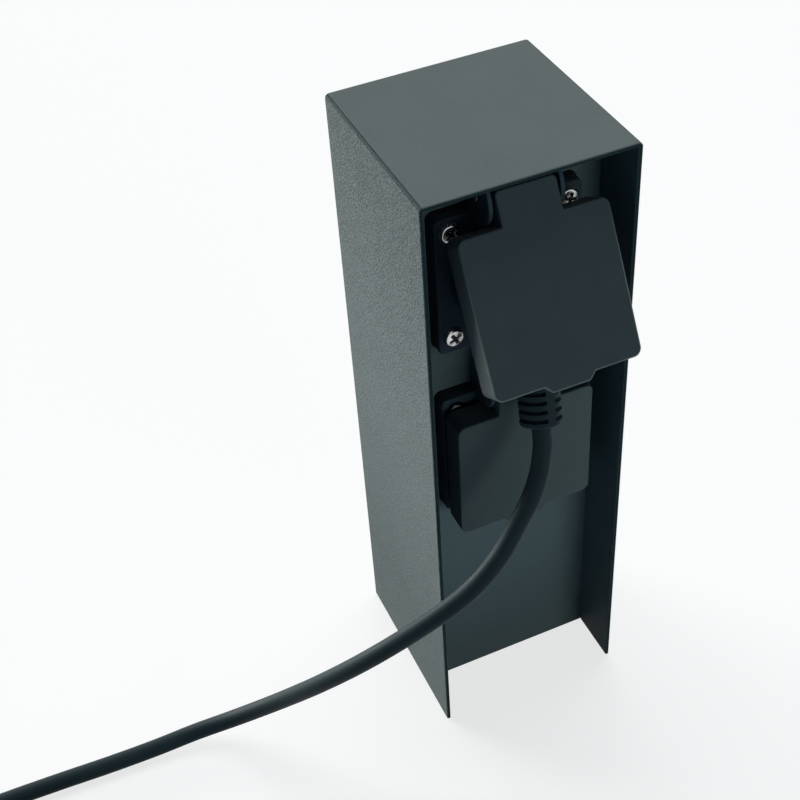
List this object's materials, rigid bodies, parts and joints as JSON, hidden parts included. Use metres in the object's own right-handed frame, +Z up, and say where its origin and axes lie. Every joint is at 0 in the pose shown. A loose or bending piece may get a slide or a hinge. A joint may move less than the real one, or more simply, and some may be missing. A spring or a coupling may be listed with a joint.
{
  "type": "garden socket post",
  "caption": "Folded sheet-metal garden post with a front niche that holds hinged-lid socket outlets one above the other, and a rubber extension lead plugged into the upper one.",
  "frame": {"origin": "on the ground, at the middle of the post's square footprint", "axes": "+X to the right seen from the niche side, +Y from the niche to the back, +Z up; the niche faces -Y"},
  "size_m": [0.4705, 0.1985, 0.334],
  "materials": {
    "powder_coat": "anthracite powder coat with a fine sandy texture",
    "frame_black": "black moulded nylon, finely eroded mould texture",
    "lid_charcoal": "charcoal moulded plastic, matt",
    "insert_grey": "dark grey moulded plastic",
    "zinc_steel": "bright zinc plated steel",
    "pin_steel": "plain stainless or nickel plated metal",
    "contact_brass": "plain brass strip and tube",
    "black_rubber": "soft black rubber",
    "lead_rubber": "matt black lead rubber with a faint sheen",
    "grip_nylon": "natural nylon",
    "terminal_white": "off-white moulded plastic",
    "wire_brown": "brown wire insulation",
    "wire_blue": "blue wire insulation",
    "wire_green": "green and yellow wire insulation",
    "tie_fabric": "black hook-and-loop strap"
  },
  "bodies": {
    "post": {"hood": "powder_coat", "socket_panel": "powder_coat", "panel_nuts": "zinc_steel", "rear_cover": "powder_coat", "rear_cover_screws": "zinc_steel", "base_plate": "powder_coat", "base_nuts": "zinc_steel", "entry_bush": "black_rubber", "cord_grip": "grip_nylon", "cord_grip_screws": "zinc_steel", "terminal_block": "terminal_white", "terminal_screws": "zinc_steel", "terminal_nuts": "zinc_steel", "earth_nut": "zinc_steel", "live_wires": "wire_brown", "neutral_wires": "wire_blue", "earth_wires": "wire_green", "upper_socket_frame": "frame_black", "upper_gasket": "black_rubber", "upper_frame_screws": "zinc_steel", "upper_frame_nuts": "zinc_steel", "upper_insert": "insert_grey", "upper_insert_screws": "zinc_steel", "upper_contacts": "contact_brass", "upper_earth_clip": "contact_brass", "upper_back_cap": "insert_grey", "upper_hinge_pin": "pin_steel", "upper_lid_spring": "pin_steel", "lower_socket_frame": "frame_black", "lower_gasket": "black_rubber", "lower_frame_screws": "zinc_steel", "lower_frame_nuts": "zinc_steel", "lower_insert": "insert_grey", "lower_insert_screws": "zinc_steel", "lower_contacts": "contact_brass", "lower_earth_clip": "contact_brass", "lower_back_cap": "insert_grey", "lower_hinge_pin": "pin_steel", "lower_lid_spring": "pin_steel", "plug_body": "lead_rubber", "plug_pins": "pin_steel", "plug_earth_strips": "contact_brass", "plug_strain_relief": "lead_rubber", "lead_cord": "lead_rubber", "lead_coil": "lead_rubber", "coil_tie": "tie_fabric", "coupling_relief": "lead_rubber", "coupling_body": "lead_rubber", "coupling_face": "insert_grey"},
    "upper_lid_body": {"upper_lid": "lid_charcoal", "upper_lid_seal": "black_rubber"},
    "lower_lid_body": {"lower_lid": "lid_charcoal", "lower_lid_seal": "black_rubber"}
  },
  "joints": [
    {"name": "upper_lid_hinge", "type": "hinge", "parent": "post", "child": "upper_lid_body", "pos_m": [0, -0.0321, 0.3181], "axis": [-1, 0, 0], "range_deg": [0, 58], "stiffness_Nm_per_rad": 0.02, "springref_deg": -31.51, "deforming": ["upper_lid_spring"]},
    {"name": "lower_lid_hinge", "type": "hinge", "parent": "post", "child": "lower_lid_body", "pos_m": [0, -0.0321, 0.2181], "axis": [-1, 0, 0], "range_deg": [0, 28], "stiffness_Nm_per_rad": 0.02, "springref_deg": -17.19, "deforming": ["lower_lid_spring"]}
  ]
}
